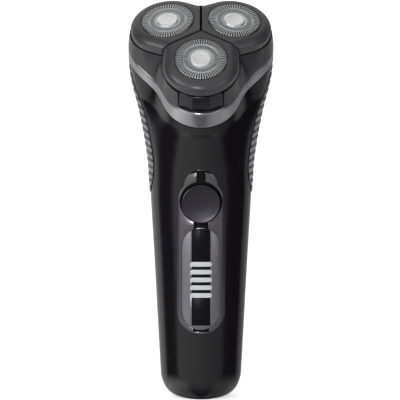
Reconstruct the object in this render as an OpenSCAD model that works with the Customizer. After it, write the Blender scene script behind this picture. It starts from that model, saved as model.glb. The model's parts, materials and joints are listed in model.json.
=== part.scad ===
// Rotary electric shaver with three floating heads, a hinged hair chamber and a rear pop-up trimmer.
// Origin: centre of the flat base. +Z up, the front faces -Y, the left-right symmetry plane is X = 0.

/* [Handle] */
// Wall thickness of the two handle shells
shell_wall = 1.8; // [1.4:0.1:2.4]
// Slope of the front face, in millimetres of depth per millimetre of height
front_slope = 0.05; // [0.03:0.01:0.06]
// Depth of the front face at the top of the rounded base
front_depth = 16.4; // [16:0.1:17]

/* [Controls] */
// Radius of the on/off button
button_r = 8.05; // [7:0.05:8.1]
// Height of the on/off button's axis
button_z = 83; // [82:0.5:84]
// Travel of the on/off button
button_travel = 0.8; // [0.4:0.1:1]
// Width of the display lens
lens_w = 16.6; // [15:0.1:17]
// Length of the display lens
lens_l = 43; // [41:0.5:44]
// Number of light bars
bar_count = 5; // [3:1:6]
// Distance between light bars
bar_pitch = 3.28; // [3:0.01:3.4]

/* [Head] */
// Tilt of the shaving plane towards the front
head_tilt = 40; // [40:1:40]
// Distance from the head's centre to each foil's centre
foil_distance = 16.2; // [16:0.1:16.4]
// Outward tilt of each foil
foil_tilt = 7; // [6:0.5:8]
// Outer radius of a foil
foil_r = 11; // [10.8:0.1:11]
// Outer radius of a lobe
lobe_r = 16.0; // [15.8:0.1:16]
// Half of the gap between neighbouring lobes
lobe_gap = 0.45; // [0.4:0.05:0.6]
// Number of blades on a cutter
blade_count = 15; // [9:3:18]

/* [Drive] */
// Gear module
gear_module = 0.6; // [0.6:0.1:0.6]
// Teeth on the motor pinion
pinion_teeth = 24; // [24:1:24]
// Teeth on each drive gear
drive_teeth = 27; // [27:1:27]

/* [Grips] */
// Thickness of a grip inlay
grip_pad = 0.8; // [0.5:0.1:0.9]

/* [Hidden] */
$fn = 64;
eps = 0.01;

// Head frame: X to the right, Y up and back along the shaving plane, Z out of the shaving plane.
head_centre = [0, -13, 154.2];
lobe_front_dir = -90;
lobe_right_dir = 30;
lobe_left_dir = 150;
lobe_dirs = [lobe_front_dir, lobe_right_dir, lobe_left_dir];
module head_frame() translate(head_centre) rotate([head_tilt, 0, 0]) children();
module sector_frame(dir) head_frame() rotate([0, 0, dir]) children();
module lobe_frame(dir) sector_frame(dir) translate([foil_distance, 0, 0]) rotate([0, foil_tilt, 0]) children();
function from_head(p) = [p[0],
    head_centre[1] + p[1] * cos(head_tilt) - p[2] * sin(head_tilt),
    head_centre[2] + p[1] * sin(head_tilt) + p[2] * cos(head_tilt)];

// Outline of the head in the shaving plane: a soft three-lobed ring. psi is 0 at the right, -90 at the front.
head_mean_r = 26.6;
head_wave = 5.3;
head_widen = 1.047;
function lobe_off(psi) = let (k = ((psi - 30) % 120 + 120) % 120) min(k, 120 - k);
function head_ring(psi, inset) = (head_mean_r + head_wave * cos(3 * lobe_off(psi)) - inset)
    * [head_widen * cos(psi), sin(psi)];
head_half_w = 30.6;

// Handle sections: front y, front z, back y, back z, half width, and how far the oval has become
// three-lobed. The last one lies near the band.
function front_y(z) = -(front_depth + front_slope * (z - 12));
handle_rows = [
    [front_y(12), 12, 16.0, 12, 17.1, 0],
    [front_y(34), 34, 17.6, 34, 18.3, 0],
    [front_y(60), 60, 19.2, 60, 19.7, 0],
    [front_y(84), 84, 20.6, 84, 21.1, 0],
    [front_y(97), 97, 21.9, 102, 21.9, 0.08],
    [-21.8, 108, 22.6, 124, 25.3, 0.4],
    [-22.7, 112, 21.6, 139.4, 28.6, 0.8]];
base_flat_w = 6.2;
base_flat_d = 11;
base_round = 12;
base_steps = 5;
row_steps = 3;
ring_points = 48;

function smooth(a, b, c, d, t) = 0.5 * ((2 * b) + (c - a) * t + (2 * a - 5 * b + 4 * c - d) * t * t
    + (3 * b - a - 3 * c + d) * t * t * t);
function row_at(i) = handle_rows[max(0, min(len(handle_rows) - 1, i))];
function row_between(i, t) = smooth(row_at(i - 1), row_at(i), row_at(i + 1), row_at(i + 2), t);
function base_row(t) = let (a = 90 * t, grow = pow(sin(a), 0.8), z = base_round * (1 - cos(a)),
        w = base_flat_w + (handle_rows[0][4] - base_flat_w) * grow,
        f = -base_flat_d + (handle_rows[0][0] + base_flat_d) * grow,
        b = base_flat_d + (handle_rows[0][2] - base_flat_d) * grow)
    [f, z, b, z, w, 0];

// A point on a handle section: a is 0 at the front, 90 at the right, 180 at the back.
function section_point(row, a, inset) = let (
        cy = (row[0] + row[2]) / 2, cz = (row[1] + row[3]) / 2,
        dy = (row[2] - row[0]) / 2, dz = (row[3] - row[1]) / 2,
        depth = sqrt(dy * dy + dz * dz), shrink = (depth - inset) / depth,
        oval = [sin(a), -cos(a)], ring = head_ring(a - 90, 0),
        lobed = [ring[0] / head_half_w, (ring[1] + head_wave) / head_mean_r],
        unit = oval * (1 - row[5]) + lobed * row[5])
    [(row[4] - inset) * unit[0], cy + dy * shrink * unit[1], cz + dz * shrink * unit[1]];

// Accent band edges, in the head frame: the ring dips at the front and rises at the sides.
function dip(a) = pow(max(0, cos(a)), 1.4);
function side_rise(a) = pow(max(0, sin(min(a, 360 - a) - 12)), 8);
function around(a) = (a + 720) % 360;
function band_edge(a, inset, n, drop) = let (p = head_ring(a - 90, inset)) from_head([p[0], p[1] - drop, n]);
function band_low(a, inset) = band_edge(a, inset, -22.3 - 1.6 * dip(a) + 1.6 * side_rise(around(a)), 1.2);
function band_high(a, inset) = band_edge(a, inset, -19.2 + 2.4 * dip(a) + 3.6 * side_rise(around(a)), 0);

// The handle's outside at step s, counted in sections; the last step runs up to the band.
last_row = len(handle_rows) - 1;
function handle_point(s, a, inset) = s < last_row
    ? let (i = floor(s)) section_point(row_between(i, s - i), a, inset)
    : section_point(handle_rows[last_row], a, inset) * (last_row + 1 - s) + band_low(a, inset) * (s - last_row);

// Skin of a tube whose closed profile (points per step) is swept round; wraps both ways.
module swept_ring(rings) {
    n = len(rings);
    m = len(rings[0]);
    polyhedron([for (ring = rings) for (p = ring) p],
        [for (i = [0:n - 1]) for (j = [0:m - 1])
            let (i2 = (i + 1) % n, j2 = (j + 1) % m)
            each [[i * m + j, i * m + j2, i2 * m + j2], [i * m + j, i2 * m + j2, i2 * m + j]]],
        convexity = 10);
}

// Skin of an open strip: each ring is a closed loop, outer points first and inner points back.
module lofted_strip(rings) {
    n = len(rings);
    m = len(rings[0]);
    half = m / 2;
    top = (n - 1) * m;
    polyhedron([for (ring = rings) for (p = ring) p],
        concat(
            [for (i = [0:n - 2]) for (j = [0:m - 1]) let (a = i * m, b = a + m, j2 = (j + 1) % m)
                each [[a + j, b + j2, a + j2], [a + j, b + j, b + j2]]],
            [for (j = [0:half - 2]) each [[j, m - 2 - j, m - 1 - j], [j, j + 1, m - 2 - j]]],
            [for (j = [0:half - 2])
                each [[top + j, top + m - 1 - j, top + m - 2 - j], [top + j, top + m - 2 - j, top + j + 1]]]),
        convexity = 10);
}

// Half of the handle: the rounded base, then the sections, each an outer arc and an inner arc.
inner_floor = 1.6;
function closed_arc(outer, inner) = concat(outer, [for (k = [len(inner) - 1:-1:0]) inner[k]]);
module half_shell(start) {
    angles = [for (k = [0:ring_points / 2]) start + k * 360 / ring_points];
    lofted_strip(concat(
        [for (k = [0:base_steps - 1]) let (row = base_row(k / base_steps),
                lift = k == 0 ? 0 : inner_floor * cos(90 * k / base_steps))
            closed_arc([for (a = angles) section_point(row, a, 0)],
                [for (a = angles) section_point(row, a, shell_wall) + [0, 0, lift]])],
        [for (k = [0:(last_row + 1) * row_steps]) let (s = k / row_steps)
            closed_arc([for (a = angles) handle_point(s, a, 0)], [for (a = angles) handle_point(s, a, shell_wall)])]));
}

// Panel frame: X to the right, Y up along the front face, Z out of it. Origin on the front face at panel_z.
panel_z = 60;
panel_lean = atan(front_slope);
module panel_frame() translate([0, front_y(panel_z), panel_z]) rotate([90 + panel_lean, 0, 0]) children();
function panel_y(z) = (z - panel_z) / cos(panel_lean);
face_r = 20;
module face_cylinder(r, out) translate([0, -60, out - r]) rotate([-90, 0, 0]) cylinder(r = r, h = 120, $fn = 96);
module stadium(w, z0, z1) {
    translate([0, panel_y(z0 + w / 2)]) circle(w / 2);
    translate([0, panel_y(z1 - w / 2)]) circle(w / 2);
    translate([-w / 2, panel_y(z0 + w / 2)]) square([w, panel_y(z1 - w / 2) - panel_y(z0 + w / 2)]);
}
bezel_w = 20.3;
bezel_z0 = 28.3;
bezel_top_z = 97.3;
bezel_tongue_r = 7;
lens_z0 = 30;
lens_z1 = lens_z0 + lens_l;
module bezel_outline(grow) {
    stadium(bezel_w + 2 * grow, bezel_z0 - grow, button_z + bezel_w / 2 + grow);
    translate([0, panel_y(bezel_top_z - bezel_tongue_r)]) circle(bezel_tongue_r + grow);
}
module front_shell() color("#232024") difference() {
    half_shell(-90);
    panel_frame() translate([0, 0, -8]) linear_extrude(16) bezel_outline(0.05);
}
well_z0 = 82;
well_z1 = 113;
well_w = 21;
well_floor_y = 16.6;
module rear_shell() color("#232024") difference() {
    half_shell(90);
    translate([-well_w / 2, well_floor_y - 1, well_z0]) cube([well_w, 12, well_z1 - well_z0]);
    for (z = shell_screw_z) translate([0, 10, z]) rotate([-90, 0, 0]) cylinder(r = 2.1, h = 12);
}
shell_screw_z = [22, 74];
cap_w = 8.0;
cap_l = 17.0;
module cap_outline(w, l) {
    for (s = [-1, 1]) translate([0, s * (l - w) / 2]) circle(w / 2);
    translate([-w / 2, -(l - w) / 2]) square([w, l - w]);
}
socket_r = 2.9;
socket_depth = 9;
module base_cap() color("#2a292c") difference() {
    union() {
        linear_extrude(3.2) cap_outline(cap_w, cap_l);
        translate([0, 0, 3.2]) linear_extrude(2.2) cap_outline(14, 23);
    }
    translate([0, 0, -1]) cylinder(r = socket_r + 1.2, h = 8);
}
module charging_socket() color("#1c1c1e") difference() {
    union() {
        cylinder(r = socket_r + 1.15, h = 11);
        translate([-5, -5, 5.5]) cube([10, 10, 5.5]);
    }
    translate([0, 0, -eps]) cylinder(r = socket_r, h = socket_depth);
    cylinder(r = 1, h = 10);
}
module socket_pin() color("#c9b46a") translate([0, 0, 3]) cylinder(r = 1, h = 7);

// Head hinge: barrels along X behind the band, each on a short block.
hinge_at = [24.1, -19.25];
hinge_pin_r = 0.8;
barrel_r = 1.9;
middle_barrel = 6;
side_barrel = 3;
side_barrel_x = 4.8;
module hinge_barrel(x, length, r) head_frame() translate([x - length / 2, hinge_at[0], hinge_at[1]])
    rotate([0, 90, 0]) cylinder(r = r, h = length, $fn = 32);
module hinge_block(x, length, low, high, from_y) head_frame() translate([x - length / 2, from_y, low])
    cube([length, hinge_at[0] - from_y, high - low]);
module head_hinge_pin() color("#b9bcc2") hinge_barrel(0, 12.6, hinge_pin_r);
module accent_band() color("#63626a") {
    band_wall = 2.2;
    difference() {
        union() {
            swept_ring([for (k = [0:ring_points - 1]) let (a = k * 360 / ring_points)
                [band_low(a, 0), band_high(a, 0), band_high(a, band_wall), band_low(a, band_wall)]]);
            for (s = [-1, 1]) {
                hinge_barrel(s * side_barrel_x, side_barrel, barrel_r);
                hinge_block(s * side_barrel_x, side_barrel, -21.1, -19.6, 19.2);
            }
        }
        hinge_barrel(0, 20, hinge_pin_r);
    }
}

// Grip inlays: a thin crescent pad on each side with slanted ribs that stand on it.
grip_first = 3.15;
grip_last = 6.75;
grip_steps = 16;
grip_across = 6;
grip_tip = 2;
grip_turn = 18;
grip_seat = 0.22;
function grip_swell(t) = pow(sin(180 * t), 0.8);
module grip(side) color("#77757a") {
    rings = [for (k = [0:grip_steps]) let (t = k / grip_steps, s = grip_first + (grip_last - grip_first) * t,
            front = 90 - grip_tip + grip_turn * t - 26 * sin(180 * pow(t, 0.62)),
            back = 90 + grip_tip + grip_turn * t + 28 * grip_swell(t),
            edge = [for (j = [0:grip_across]) front + (back - front) * j / grip_across])
        closed_arc([for (a = edge) mirrored(handle_point(s, a, -grip_pad), side)],
            [for (a = edge) mirrored(handle_point(s, a, -grip_seat), side)])];
    lofted_strip(side > 0 ? rings : [for (k = [grip_steps:-1:0]) rings[k]]);
}
function mirrored(p, side) = [side * p[0], p[1], p[2]];

module control_bezel() color("#35353a") intersection() {
    panel_frame() difference() {
        translate([0, 0, -8]) linear_extrude(12) bezel_outline(0);
        translate([0, 0, -10]) linear_extrude(16) stadium(lens_w + 0.1, lens_z0 - 0.05, lens_z1 + 0.05);
        translate([0, panel_y(button_z), -10]) cylinder(r = button_r + 0.15, h = 20);
    }
    panel_frame() difference() {
        face_cylinder(face_r + 0.3, 0.3);
        face_cylinder(face_r - 2.4, -2.4);
    }
}
bar_w = 9.1;
bar_h = 1.9;
bar_mid_z = 51.1;
module bar_outline(grow) for (k = [0:bar_count - 1])
    translate([0, panel_y(bar_mid_z + (k - (bar_count - 1) / 2) * bar_pitch)]) {
        for (s = [-1, 1]) translate([s * (bar_w - bar_h) / 2, 0]) circle(bar_h / 2 + grow, $fn = 32);
        translate([-(bar_w - bar_h) / 2, -bar_h / 2 - grow]) square([bar_w - bar_h, bar_h + 2 * grow]);
    }
module display_lens() color("#17171a") intersection() {
    panel_frame() difference() {
        translate([0, 0, -8]) linear_extrude(12) stadium(lens_w, lens_z0, lens_z1);
        translate([0, 0, -10]) linear_extrude(16) bar_outline(0.03);
    }
    panel_frame() difference() {
        face_cylinder(face_r, 0);
        face_cylinder(face_r - 1.6, -1.6);
    }
}
module light_bars() color("#e8eae8") intersection() {
    panel_frame() translate([0, 0, -8]) linear_extrude(12) bar_outline(0);
    panel_frame() difference() {
        face_cylinder(face_r + 0.1, 0.1);
        face_cylinder(face_r - 4, -4);
    }
}
module at_button() panel_frame() translate([0, panel_y(button_z), 0]) children();
switch_out = -5.4;
module power_button() color("#2b2a2e") at_button() difference() {
    union() {
        translate([0, 0, -2]) cylinder(r = button_r, h = 2.9);
        for (s = [-1, 1]) translate([-3, s * 7.4 - 2, -3.2]) cube([6, 4, 0.5]);
        translate([0, 0, -3.2]) cylinder(r = button_r - 1, h = 1.4);
        translate([0, 0, switch_out + 0.05]) cylinder(r = 1.6, h = 3);
    }
    translate([0, 0, 60.4]) sphere(r = 60, $fn = 96);
}
module button_spring() color("#c0c4c9") at_button() difference() {
    translate([0, 0, -7.2]) cylinder(r = 5.1, h = 4);
    translate([0, 0, -8]) cylinder(r = 4.5, h = 6);
}
// Board stands behind the panel, parallel to it; the switch faces the button.
board_out = -9.0;
module circuit_board() color("#1f5a3a") panel_frame() difference() {
    translate([-13, -40, board_out - 1.2]) cube([26, 76, 1.2]);
    for (x = [-10, 10]) for (y = [-36, 32]) translate([x, y, board_out - 2]) cylinder(r = 1.1, h = 4);
}
module push_switch() color("#bfc3c8") at_button() {
    translate([-3, -3, board_out]) cube([6, 6, 2.0]);
    translate([0, 0, board_out + 1.9]) cylinder(r = 1.5, h = switch_out - board_out - 1.9 - button_travel);
}

battery_r = 7.1;
battery_z0 = 15;
battery_l = 48;
battery_y = 5.5;
module battery_cell() color("#3f7f5a") translate([0, battery_y, battery_z0]) {
    cylinder(r = battery_r, h = battery_l);
    translate([0, 0, battery_l - eps]) cylinder(r = 2.8, h = 1.2);
}
module battery_contacts() color("#c9ccd0") {
    translate([-4, battery_y - 6, battery_z0 - 0.6]) cube([8, 12, 0.5]);
    translate([-4, battery_y - 6, battery_z0 + battery_l + 1.25]) cube([8, 12, 0.5]);
}
// Chassis: a flat spine between board and cell, with a shelf below the cell and one above it.
module chassis() color("#3b3c42") {
    difference() {
        union() {
            translate([-12, -4.4, 13]) cube([24, 1.8, 98]);
            translate([-9, -4.4, 12]) cube([18, 16, 2.3]);
            translate([-9, -4.4, battery_z0 + battery_l + 1.8]) cube([18, 16, 1.8]);
            for (x = [-10, 8]) translate([x, -2.7, 15]) cube([2, 6, 50]);
        }
        translate([0, 20, 74]) rotate([90, 0, 0]) cylinder(r = 1.0, h = 30);
    }
    for (z = shell_screw_z) translate([0, 4, z]) rotate([-90, 0, 0]) chassis_boss(z);
}
module chassis_boss(z) if (z > 70) translate([0, 0, -6.7]) difference() {
    cylinder(r = 2.6, h = 16.5);
    translate([0, 0, 4]) cylinder(r = 1.0, h = 13);
}
module shell_screws() color("#9a9da3") for (z = shell_screw_z) translate([0, 0, z]) rotate([-90, 0, 0]) {
    translate([0, 0, 14.2]) cylinder(r = 2.0, h = 1.6);
    translate([0, 0, 12.6 + (z > 70 ? -3 : 0)]) cylinder(r = 1.0, h = 1.7 + (z > 70 ? 3 : 0));
}

// Drive, all in the head frame.
motor_r = 9;
motor_top = -23.4;
motor_l = 14.6;
module motor() color("#b4b7bb") head_frame() difference() {
    union() {
        translate([0, 0, motor_top - motor_l]) cylinder(r = motor_r, h = motor_l);
        translate([0, 0, motor_top - eps]) cylinder(r = 3, h = 0.7);
        translate([0, 0, motor_top - motor_l - 1]) cylinder(r = 2.6, h = 1.1);
    }
    translate([0, 0, motor_top - motor_l + 1]) cylinder(r = shaft_r + 0.03, h = 20);
}
shaft_r = 1.0;
module motor_shaft() color("#d5d7da") head_frame()
    translate([0, 0, motor_top - motor_l + 1.2]) cylinder(r = shaft_r, h = 18.6);
gear_low = -20.6;
gear_high = -18.4;
spindle_distance = gear_module * (pinion_teeth + drive_teeth) / 2;
// Straight-sided spur gear outline with thin teeth, so that running pairs keep their backlash.
module gear_outline(teeth) {
    pitch_r = gear_module * teeth / 2;
    root_r = pitch_r - gear_module * 1.15;
    tip_r = pitch_r + gear_module * 0.85;
    step = 360 / teeth;
    polygon([for (k = [0:teeth - 1]) each [
        [root_r * cos((k - 0.30) * step), root_r * sin((k - 0.30) * step)],
        [tip_r * cos((k - 0.11) * step), tip_r * sin((k - 0.11) * step)],
        [tip_r * cos((k + 0.11) * step), tip_r * sin((k + 0.11) * step)],
        [root_r * cos((k + 0.30) * step), root_r * sin((k + 0.30) * step)]]]);
}
module motor_pinion() color("#d8c27a") head_frame() translate([0, 0, gear_low]) difference() {
    linear_extrude(gear_high - gear_low) gear_outline(pinion_teeth);
    translate([0, 0, -1]) cylinder(r = shaft_r, h = 5);
}
module at_spindle(dir) sector_frame(dir) translate([spindle_distance, 0, 0]) children();
module drive_gear(dir) color("#e4e2da") at_spindle(dir) translate([0, 0, gear_low]) difference() {
    union() {
        linear_extrude(gear_high - gear_low) gear_outline(drive_teeth);
    }
    translate([0, 0, -1]) cylinder(r = 1.2, h = 5);
}
spindle_tip = -4.6;
module drive_spindle(dir) color("#d9d9dc") at_spindle(dir) {
    translate([0, 0, -22.3]) cylinder(r = 1.2, h = 12.3);
    translate([0, 0, -15.2]) cylinder(r = 1.6, h = 8.2);
    translate([0, 0, -7.1]) cylinder(r = 1.1, h = spindle_tip + 7.1);
}
// Gear plate and cover share one three-lobed outline, with a screw in each notch.
plate_lobe_r = 11.4;
plate_mid_r = 17.2;
screw_dirs = [-30, 90, 210];
screw_distance = 14.4;
module plate_outline() {
    circle(plate_mid_r, $fn = 96);
    for (dir = lobe_dirs) rotate(dir) translate([spindle_distance, 0]) circle(plate_lobe_r, $fn = 96);
}
module each_screw() for (a = screw_dirs) rotate([0, 0, a]) translate([screw_distance, 0, 0]) children();
module each_spindle() for (dir = lobe_dirs) rotate([0, 0, dir]) translate([spindle_distance, 0, 0]) children();
module gear_plate() color("#4a4c52") head_frame() difference() {
    union() {
        translate([0, 0, -22.6]) linear_extrude(1.4) plate_outline();
        each_screw() translate([0, 0, -21.4]) cylinder(r = 2.2, h = 3.8);
    }
    translate([0, 0, -24]) cylinder(r = 3.1, h = 4);
    each_spindle() translate([0, 0, -22.4]) cylinder(r = 1.25, h = 3);
    each_screw() translate([0, 0, -21]) cylinder(r = 0.8, h = 5);
}
module gear_cover() color("#3a3b40") head_frame() difference() {
    union() {
        translate([0, 0, -17.5]) linear_extrude(1.3) plate_outline();
        each_spindle() translate([0, 0, -16.4]) cylinder(r = 4, h = 1.6);
    }
    each_spindle() {
        translate([0, 0, -19]) cylinder(r = 1.9, h = 6);
        translate([0, 0, -15.8]) cylinder(r = 2.9, h = 2);
    }
    each_screw() translate([0, 0, -19]) cylinder(r = 0.95, h = 5);
}
module spindle_seals() color("#1d1d1f") head_frame() each_spindle() difference() {
    translate([0, 0, -15.8]) cylinder(r = 2.9, h = 1.0);
    translate([0, 0, -17]) cylinder(r = 1.75, h = 3);
}
module deck_screws() color("#a7aab0") head_frame() each_screw() {
    translate([0, 0, -16.2]) cylinder(r = 1.7, h = 0.9);
    translate([0, 0, -20.6]) cylinder(r = 0.8, h = 4.5);
}

// Head shell: from the soft ring at the band to a three-lobed edge under the lobes.
function lobe_reach(f) = f > atan(lobe_r / foil_distance) ? lobe_r / sin(f)
    : foil_distance * cos(f) + sqrt(lobe_r * lobe_r - pow(foil_distance * sin(f), 2));
lobe_bottom = -5.2;
rim_gap = 0.85;
function rim_height(f) = lobe_bottom * cos(foil_tilt) - (lobe_reach(f) * cos(f) - foil_distance) * sin(foil_tilt) - rim_gap;
head_wall = 1.8;
chamber_steps = 6;
function chamber_point(psi, s, inset) = let (f = lobe_off(psi), e = pow(s, 1.6),
        low_r = head_ring(psi, 0),
        top_r = lobe_reach(f) * [cos(psi), sin(psi)],
        low_n = -18.85 + 2.4 * dip(psi + 90) + 3.6 * side_rise(around(psi + 90)), top_n = rim_height(f),
        p = low_r * (1 - e) + top_r * e, r = norm(p), q = p * (r - inset) / r)
    from_head([q[0], q[1], low_n + (top_n - low_n) * s]);
chamber_points = 72;
release_w = 19;
module head_shell() color("#37363a") difference() {
    union() {
        swept_ring([for (k = [0:chamber_points - 1]) let (psi = k * 360 / chamber_points)
            concat([for (i = [0:chamber_steps]) chamber_point(psi, i / chamber_steps, 0)],
                [for (i = [chamber_steps:-1:0]) chamber_point(psi, i / chamber_steps, head_wall)])]);
        hinge_barrel(0, middle_barrel, barrel_r);
        hinge_block(0, middle_barrel, -18.8, -17.4, 19.2);
    }
    head_frame() translate([-release_w / 2 - 0.15, -34, -15.5]) cube([release_w + 0.3, 8, 12]);
    hinge_barrel(0, 20, hinge_pin_r + 0.05);
}
module release_button() color("#3c3b40") head_frame() {
    translate([0, 0, -15.2]) linear_extrude(7.1)
        polygon([[-9.3, -28.3], [-3.6, -31.2], [3.6, -31.2], [9.3, -28.3],
            [8.7, -27.0], [3.2, -29.6], [-3.2, -29.6], [-8.7, -27.0]]);
    translate([-2, -28.7, -17.6]) cube([4, 0.8, 4.6]);
    translate([-2, -29.7, -13.2]) cube([4, 1.8, 1.2]);
}
frame_low = -11.2;
frame_high = -9.7;
module blade_frame() color("#2f3034") {
    head_frame() difference() {
        union() {
            translate([0, 0, frame_low]) cylinder(r = 17.4, h = frame_high - frame_low);
            for (dir = lobe_dirs) rotate([0, 0, dir]) translate([foil_distance, 0, frame_low])
                cylinder(r = 11.2, h = frame_high - frame_low);
        }
        for (dir = lobe_dirs) rotate([0, 0, dir]) translate([foil_distance - 0.6, 0, frame_low - 1])
            cylinder(r = 7, h = 4);
        translate([0, 0, frame_low - 1]) cylinder(r = 2.55, h = 4);
    }
    for (dir = lobe_dirs) lobe_frame(dir) for (s = [-1, 1]) difference() {
        translate([-2, s * 11.1 - 0.8, -10.6]) cube([4, 1.6, 5.4]);
        translate([0, s * 14, pivot_z]) rotate([s * 90, 0, 0]) cylinder(r = pivot_r, h = 6, $fn = 32);
    }
}
pivot_z = -7;
pivot_r = 0.75;
module lobe_pins() color("#c6c8cc") for (dir = lobe_dirs) lobe_frame(dir) for (s = [-1, 1])
    translate([0, s * 14.0, pivot_z]) rotate([s * 90, 0, 0]) cylinder(r = pivot_r, h = 3.6, $fn = 32);
module lock_knob() color("#55565c") head_frame() {
    translate([0, 0, -12.6]) cylinder(r = 5.2, h = 1.2);
    translate([0, 0, -11.5]) cylinder(r = 2.5, h = 2.4);
    translate([0, 0, -9.2]) cylinder(r = 3.2, h = 0.6);
    translate([-4.4, -0.7, -14]) cube([8.8, 1.4, 1.5]);
}

// Lobe: a domed petal, round at the outer side and straight towards the head's centre.
collar_r = 11.6;
rim_z = -3.4;
dome_steps = 6;
module dome_half() polygon(concat([[0, lobe_bottom], [0, -0.3]],
    [for (k = [0:dome_steps]) let (a = 90 * k / dome_steps)
        [collar_r + (lobe_r - collar_r) * sin(a), rim_z + (-0.3 - rim_z) * cos(a)]],
    [[lobe_r, lobe_bottom]]));
module lobe(dir) color("#37373a") {
    apex = lobe_gap / sin(60);
    intersection() {
        lobe_frame(dir) difference() {
            union() {
                rotate([0, 0, -90]) rotate_extrude(angle = 180, $fn = 96) dome_half();
                rotate([90, 0, -90]) linear_extrude(foil_distance + 4) {
                    dome_half();
                    mirror([1, 0]) dome_half();
                }
            }
            translate([0, 0, -8]) cylinder(r = foil_r + 0.3, h = 12, $fn = 96);
            translate([0, 0, -8]) cylinder(r = 12.4, h = 5.2, $fn = 96);
        }
        sector_frame(dir) translate([0, 0, -20]) linear_extrude(30) polygon([[apex, 0],
            [apex + 26, 26 * tan(60)], [60, 45], [60, -45], [apex + 26, -26 * tan(60)]]);
    }
    lobe_frame(dir) for (s = [-1, 1]) difference() {
        translate([-2, s * 13.1 - 0.75, -8.4]) cube([4, 1.5, 8.4 + lobe_bottom + 0.3]);
        translate([0, s * 15, pivot_z]) rotate([s * 90, 0, 0]) cylinder(r = pivot_r + 0.05, h = 6, $fn = 32);
    }
}
foil_skin = 0.35;
foil_wall_z = -3.6;
module foil(dir) color("#a7a9ab") lobe_frame(dir) rotate_extrude($fn = 96) polygon([
    [0, -foil_skin], [0, -0.15], [4.6, -0.15], [5.4, 0], [7.4, 0], [7.7, -0.12], [8.0, 0], [10.5, 0],
    [foil_r, -0.45], [foil_r, -2.95], [12.2, -2.95], [12.2, foil_wall_z], [foil_r - 0.35, foil_wall_z],
    [foil_r - 0.35, -0.5 - foil_skin], [10.4, -foil_skin - 0.1], [8.2, -foil_skin - 0.1],
    [7.7, -foil_skin - 0.25], [7.2, -foil_skin - 0.1], [5.4, -foil_skin - 0.1]]);
cap_r = 4.4;
module foil_cap(dir) color("#d8d8d8") lobe_frame(dir) rotate_extrude($fn = 64)
    polygon([[0, -0.15], [0, 0.2], [3.4, 0.4], [4.1, 0.4], [cap_r, 0.15], [cap_r, -0.15]]);
module foil_ring(dir) color("#2c2c30") lobe_frame(dir) difference() {
    translate([0, 0, -4.2]) cylinder(r = 12.3, h = 0.6, $fn = 96);
    translate([0, 0, -5]) cylinder(r = 10.8, h = 2, $fn = 96);
}
cutter_top = -0.85;
module cutter(dir) color("#bfc2c4") lobe_frame(dir) {
    difference() {
        union() {
            translate([0, 0, -3.2]) cylinder(r = 9.9, h = 1.0, $fn = 96);
            translate([0, 0, -5.2]) cylinder(r = 3.6, h = 3.6);
            for (k = [0:blade_count - 1]) rotate([0, 0, k * 360 / blade_count]) translate([5.6, -0.3, -2.3])
                cube([4.2, 0.6, cutter_top + 2.3]);
        }
        translate([0, 0, -5.3]) cylinder(r = 2.3, h = 2.0);
    }
}

// Rear pop-up trimmer: the arm turns about a pin at the foot of its well.
trim_pin = [19.0, 85.0];
trim_w = 19.6;
module trimmer_well() color("#242327") difference() {
    translate([-well_w / 2 + 0.05, well_floor_y - 1, well_z0 + 0.05])
        cube([well_w - 0.1, 4.6, well_z1 - well_z0 - 0.1]);
    translate([-trim_w / 2 - 0.25, well_floor_y, well_z0 + 0.5])
        cube([trim_w + 0.5, 10, well_z1 - well_z0 - 1]);
    translate([-15, trim_pin[0], trim_pin[1]]) rotate([0, 90, 0]) cylinder(r = 0.75, h = 30, $fn = 32);
}
module trimmer_pin() color("#c6c8cc") translate([-trim_w / 2 - 0.4, trim_pin[0], trim_pin[1]])
    rotate([0, 90, 0]) cylinder(r = 0.75, h = trim_w + 0.8, $fn = 32);
module trimmer_arm() color("#2b2a2e") difference() {
    union() {
        translate([-trim_w / 2, trim_pin[0], trim_pin[1]]) rotate([0, 90, 0])
            cylinder(r = 1.9, h = trim_w, $fn = 48);
        translate([-trim_w / 2, trim_pin[0] - 1.9, trim_pin[1]]) cube([trim_w, 3.8, 20.5]);
    }
    translate([-15, trim_pin[0], trim_pin[1]]) rotate([0, 90, 0]) cylinder(r = 0.8, h = 30, $fn = 32);
    translate([-6, trim_pin[0] + 0.9, trim_pin[1] + 4]) cube([12, 3, 9]);
}
comb_z = trim_pin[1] + 20.5;
module comb_teeth(y, count, width, length) for (k = [0:count - 1])
    translate([-width / 2 + k * (width - 0.5) / (count - 1), y, comb_z + 3.9]) cube([0.5, 0.6, length]);
module trimmer_comb() color("#c9ccd0") {
    translate([-9, trim_pin[0] + 0.2, comb_z]) cube([18, 0.6, 4]);
    comb_teeth(trim_pin[0] + 0.2, 19, 18, 2.2);
}
module trimmer_blade() color("#b7babf") {
    translate([-7.6, trim_pin[0] - 0.45, comb_z + 0.5]) cube([15.2, 0.6, 3.5]);
    comb_teeth(trim_pin[0] - 0.45, 13, 15.2, 1.6);
}
module trimmer_slide() color("#4a494e") {
    translate([-5, trim_pin[0] + 1.2, trim_pin[1] + 4.3]) cube([10, 1.6, 5]);
    for (k = [0:3]) translate([-4, trim_pin[0] + 2.7, trim_pin[1] + 5 + k * 1.1]) cube([8, 0.5, 0.6]);
}

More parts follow.
